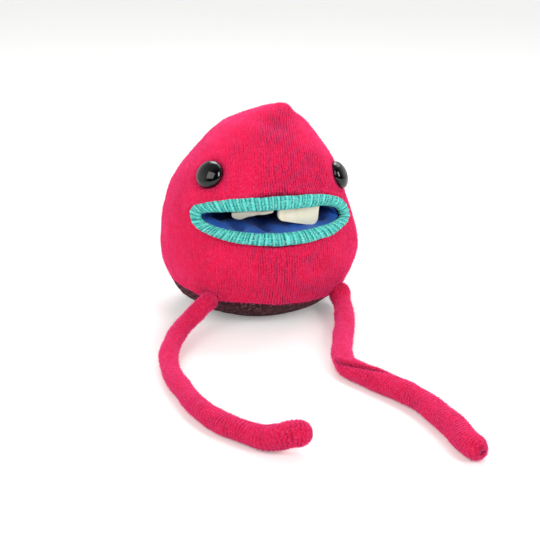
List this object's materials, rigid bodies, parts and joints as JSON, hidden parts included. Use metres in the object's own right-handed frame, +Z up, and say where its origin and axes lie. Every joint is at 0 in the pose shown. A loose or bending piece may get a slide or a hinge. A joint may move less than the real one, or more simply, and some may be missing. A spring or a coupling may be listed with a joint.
{
  "type": "plush monster",
  "caption": "Stuffed soft toy monster with a cone-shaped wool body, wide ribbed mouth opening into a lined pocket, felt teeth, domed eyes and long floppy jointed legs.",
  "frame": {"origin": "centre of the flat patch under the base that the toy sits on", "axes": "+Z up, the face looks along -Y, +X to the viewer's right when facing the toy"},
  "size_m": [0.1802, 0.3519, 0.1449],
  "materials": {
    "pink_wool": "felted wool knit, vivid pink",
    "brown_wool": "felted wool, heathered dark brown",
    "turquoise_rib": "ribbed wool knit, turquoise",
    "blue_lining": "smooth woven lining, mid blue",
    "cream_felt": "thick wool felt, cream",
    "black_plastic": "polished black",
    "washer_plastic": "moulded, dull",
    "fibrefill": "loose polyester fibre, white"
  },
  "bodies": {
    "body": {"body_front_panel": "pink_wool", "body_back_panel": "pink_wool", "base_panel": "brown_wool", "body_stuffing": "fibrefill", "mouth_lip": "turquoise_rib", "mouth_lining": "blue_lining", "left_eye": "black_plastic", "left_eye_washer": "washer_plastic", "right_eye": "black_plastic", "right_eye_washer": "washer_plastic"},
    "left_leg_root": {"left_leg_root": "pink_wool"},
    "left_upper_leg": {"left_upper_leg_cover": "pink_wool", "left_upper_leg_filling": "fibrefill"},
    "left_lower_leg": {"left_lower_leg_cover": "pink_wool", "left_lower_leg_filling": "fibrefill"},
    "left_foot": {"left_foot_cover": "pink_wool", "left_foot_filling": "fibrefill"},
    "right_leg_root": {"right_leg_root": "pink_wool"},
    "right_upper_leg": {"right_upper_leg_cover": "pink_wool", "right_upper_leg_filling": "fibrefill"},
    "right_lower_leg": {"right_lower_leg_cover": "pink_wool", "right_lower_leg_filling": "fibrefill"},
    "right_foot": {"right_foot_cover": "pink_wool", "right_foot_filling": "fibrefill"},
    "left_tooth": {"left_tooth": "cream_felt"},
    "right_tooth": {"right_tooth": "cream_felt"}
  },
  "joints": [
    {"name": "left_hip_swing", "type": "hinge", "parent": "body", "child": "left_leg_root", "pos_m": [-0.05157, -0.04144, 0.02026], "axis": [0, 0, 1], "range_deg": [-45, 15]},
    {"name": "left_hip_lift", "type": "hinge", "parent": "left_leg_root", "child": "left_upper_leg", "pos_m": [-0.05157, -0.04144, 0.02026], "axis": [-0.5, 0.866, 0], "range_deg": [-60, 55]},
    {"name": "left_knee_fold", "type": "hinge", "parent": "left_upper_leg", "child": "left_lower_leg", "pos_m": [-0.10086, -0.12822, 0.00755], "axis": [-0.9998, 0.0175, 0], "range_deg": [-50, 50]},
    {"name": "left_ankle_turn", "type": "hinge", "parent": "left_lower_leg", "child": "left_foot", "pos_m": [-0.08388, -0.21558, 0.00795], "axis": [0, 0, 1], "range_deg": [-40, 40]},
    {"name": "right_hip_swing", "type": "hinge", "parent": "body", "child": "right_leg_root", "pos_m": [0.04411, -0.04289, 0.01229], "axis": [0, 0, 1], "range_deg": [-15, 50]},
    {"name": "right_hip_lift", "type": "hinge", "parent": "right_leg_root", "child": "right_upper_leg", "pos_m": [0.04411, -0.04289, 0.01229], "axis": [-0.7071, 0.7071, 0], "range_deg": [-60, 30]},
    {"name": "right_knee_fold", "type": "hinge", "parent": "right_upper_leg", "child": "right_lower_leg", "pos_m": [0.00598, -0.14543, 0.00755], "axis": [-0.9455, -0.3256, 0], "range_deg": [-50, 50]},
    {"name": "right_ankle_turn", "type": "hinge", "parent": "right_lower_leg", "child": "right_foot", "pos_m": [0.03054, -0.23461, 0.00795], "axis": [0, 0, 1], "range_deg": [-40, 40]},
    {"name": "left_tooth_flap", "type": "hinge", "parent": "body", "child": "left_tooth", "pos_m": [-0.02324, -0.04832, 0.08313], "axis": [0.9446, -0.325, 0.0449], "range_deg": [-45, 20]},
    {"name": "right_tooth_flap", "type": "hinge", "parent": "body", "child": "right_tooth", "pos_m": [0.00854, -0.05115, 0.08267], "axis": [0.9857, 0.1508, -0.0745], "range_deg": [-15, 50]}
  ]
}
